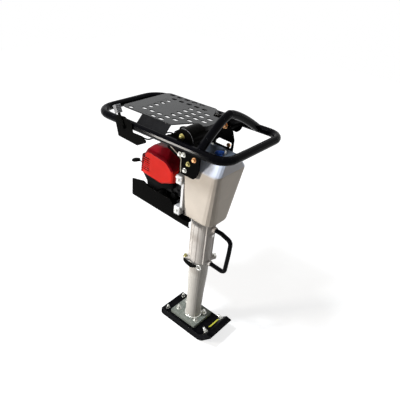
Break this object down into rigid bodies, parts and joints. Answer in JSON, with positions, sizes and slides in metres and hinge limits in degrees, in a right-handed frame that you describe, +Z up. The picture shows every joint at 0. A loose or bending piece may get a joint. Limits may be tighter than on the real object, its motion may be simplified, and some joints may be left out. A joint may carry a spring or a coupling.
{
  "type": "tamping rammer",
  "caption": "Upright petrol tamping rammer: a forward-leaning sprung leg on a flat shoe, a tapered gear case, an engine behind it and a tubular operator's loop on top.",
  "frame": {"origin": "middle of the shoe's sole, on the ground", "axes": "+Z up, +X towards the front, where the leg leans and the guard hoop stands, -Y towards the throttle lever"},
  "size_m": [0.7516, 0.4282, 1.1965],
  "materials": {
    "black_paint": "gloss",
    "silver_paint": "satin",
    "red_cover": "gloss",
    "steel": "machined",
    "spring_steel": "satin",
    "cast_aluminium": "as cast",
    "black_rubber": "matt",
    "black_plastic": "matt",
    "grey_rubber": "matt",
    "blue_plug": "gloss",
    "zinc": "yellow zinc plated"
  },
  "bodies": {
    "housing": {"gear_case": "silver_paint", "crank_bearing": "steel", "pinion_bearing": "steel", "oil_filler_plug": "blue_plug", "clutch_housing": "cast_aluminium", "guide_cylinder": "silver_paint", "oil_sight_plug": "steel", "side_plate_near": "black_paint", "side_plate_far": "black_paint", "rubber_mount_near": "black_rubber", "rubber_mount_far": "black_rubber", "crankcase": "cast_aluminium", "engine_cylinder": "cast_aluminium", "engine_cowl": "red_cover", "recoil_housing": "black_plastic", "silencer": "steel", "carburettor": "cast_aluminium", "air_cleaner": "black_plastic", "fuel_tank": "black_plastic", "fuel_cap": "black_plastic", "engine_guard": "black_paint", "engine_mount_front": "black_rubber", "engine_mount_rear": "black_rubber", "carry_handle": "black_paint", "keeper_strap": "black_rubber", "keeper_ring": "steel", "throttle_cable": "black_rubber"},
    "piston": {"piston_rod": "steel", "spring_piston": "steel", "piston_nut": "steel", "lower_spring": "spring_steel", "upper_spring": "spring_steel"},
    "foot": {"sole_plate": "black_paint", "shoe_block": "black_plastic", "spring_cylinder": "silver_paint", "foot_bolt_front_near": "zinc", "foot_bolt_front_far": "zinc", "foot_bolt_rear_near": "zinc", "foot_bolt_rear_far": "zinc", "cylinder_cap": "cast_aluminium"},
    "rod": {"connecting_rod": "steel", "wrist_pin": "steel"},
    "crank": {"crank_gear": "steel"},
    "drum": {"pinion_shaft": "steel", "clutch_drum": "steel"},
    "engine_shaft": {"engine_crankshaft": "steel", "clutch_rotor": "cast_aluminium", "flywheel_fan": "cast_aluminium"},
    "handle": {"handle_loop": "black_paint", "handle_hoop": "black_paint", "handle_bracket_near": "black_paint", "handle_bracket_far": "black_paint", "platform": "black_paint", "lever_guard": "black_paint"},
    "lever": {"throttle_lever": "steel", "throttle_grip": "grey_rubber"},
    "pulley": {"starter_pulley": "black_plastic"},
    "grip": {"starter_grip": "black_rubber", "starter_rope": "black_rubber"}
  },
  "joints": [
    {"name": "piston_stroke", "type": "slide", "parent": "housing", "child": "piston", "axis": [0.0349, 0, 0.9994], "range_m": [-0.056, 0]},
    {"name": "ram_spring", "type": "slide", "parent": "piston", "child": "foot", "axis": [0.0349, 0, 0.9994], "range_m": [-0.03, 0.035], "stiffness_N_per_m": 30000, "springref_m": -0.0208, "deforming": ["lower_spring", "upper_spring"]},
    {"name": "crank_turn", "type": "hinge", "parent": "housing", "child": "crank", "pos_m": [0.00951, 0, 0.88948], "axis": [0.9994, 0, -0.0349], "continuous": true},
    {"name": "rod_turn", "type": "hinge", "parent": "crank", "child": "rod", "pos_m": [0.01049, 0, 0.91746], "axis": [0.9994, 0, -0.0349], "continuous": true},
    {"name": "drum_turn", "type": "hinge", "parent": "housing", "child": "drum", "pos_m": [0.00742, 0, 0.82951], "axis": [0.9994, 0, -0.0349], "continuous": true},
    {"name": "engine_turn", "type": "hinge", "parent": "housing", "child": "engine_shaft", "pos_m": [0.00742, 0, 0.82951], "axis": [0.9994, 0, -0.0349], "continuous": true},
    {"name": "handle_tilt", "type": "hinge", "parent": "housing", "child": "handle", "pos_m": [-0.00556, 0, 1.08812], "axis": [0, 1, 0], "range_deg": [-2.5, 2.5], "stiffness_Nm_per_rad": 2500, "deforming": ["throttle_cable"]},
    {"name": "throttle_lever", "type": "hinge", "parent": "handle", "child": "lever", "pos_m": [-0.29189, -0.21, 1.06741], "axis": [0, 1, 0], "range_deg": [0, 45]},
    {"name": "pulley_turn", "type": "hinge", "parent": "housing", "child": "pulley", "pos_m": [-0.31239, 0, 0.84068], "axis": [0.9994, 0, -0.0349], "range_deg": [-1080, 10]},
    {"name": "starter_pull", "type": "slide", "parent": "housing", "child": "grip", "axis": [-0.9994, 0, 0.0349], "range_m": [0, 0.55], "stiffness_N_per_m": 20, "springref_m": -0.2}
  ],
  "couplings": [
    {"joint": "rod_turn", "follows": "crank_turn", "ratio": -1},
    {"joint": "drum_turn", "follows": "crank_turn", "ratio": -5},
    {"joint": "pulley_turn", "follows": "starter_pull", "rad_per_m": -33.333}
  ]
}
